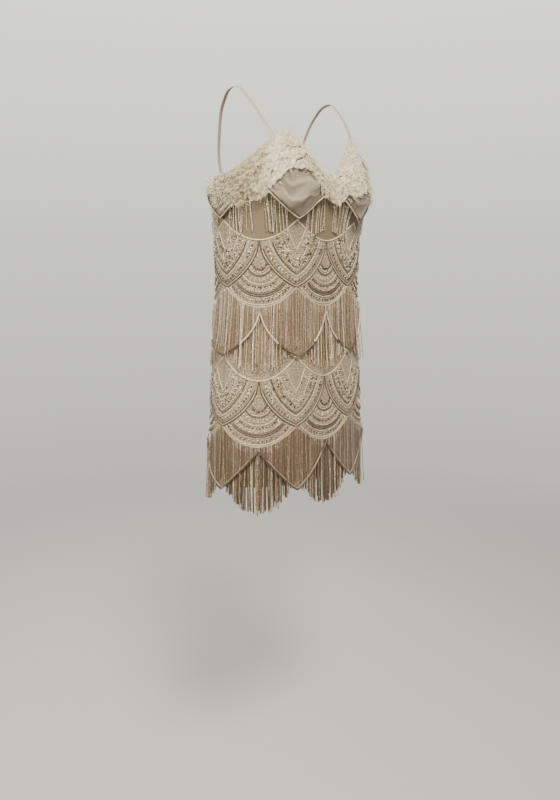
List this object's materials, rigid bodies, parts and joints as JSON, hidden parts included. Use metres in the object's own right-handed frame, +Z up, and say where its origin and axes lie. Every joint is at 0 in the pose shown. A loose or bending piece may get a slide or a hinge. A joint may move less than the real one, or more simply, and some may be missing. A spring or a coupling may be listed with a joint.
{
  "type": "camisole dress",
  "caption": "Short sleeveless camisole dress: sweetheart neckline on thin straps, embroidered net over a straight slip, scalloped hem and rows of beaded fringe.",
  "frame": {"origin": "on the dress's middle line, at the height of the tops of the two straps, where the shoulders carry it", "axes": "+Z up, the front faces -Y, and the wearer's left is +X"},
  "size_m": [0.339, 0.233, 0.7349],
  "materials": {
    "blush_satin": "soft satin",
    "champagne_net": "embroidered net",
    "ivory_lace": "matt lace",
    "rose_gold_beads": "small metallic glass beads"
  },
  "bodies": {
    "root": {"lining_front": "blush_satin", "lining_back": "blush_satin", "net_front": "champagne_net", "net_back": "champagne_net", "edging_left": "ivory_lace", "edging_right": "ivory_lace", "edging_back": "ivory_lace", "petal_front_left": "champagne_net", "petal_front_right": "champagne_net", "petal_side_left": "champagne_net", "petal_side_right": "champagne_net", "petal_back_left": "champagne_net", "petal_back_right": "champagne_net", "fringe_bust": "rose_gold_beads", "fringe_upper": "rose_gold_beads", "fringe_lower": "rose_gold_beads", "strap_left": "blush_satin", "strap_right": "blush_satin"}
  },
  "joints": []
}
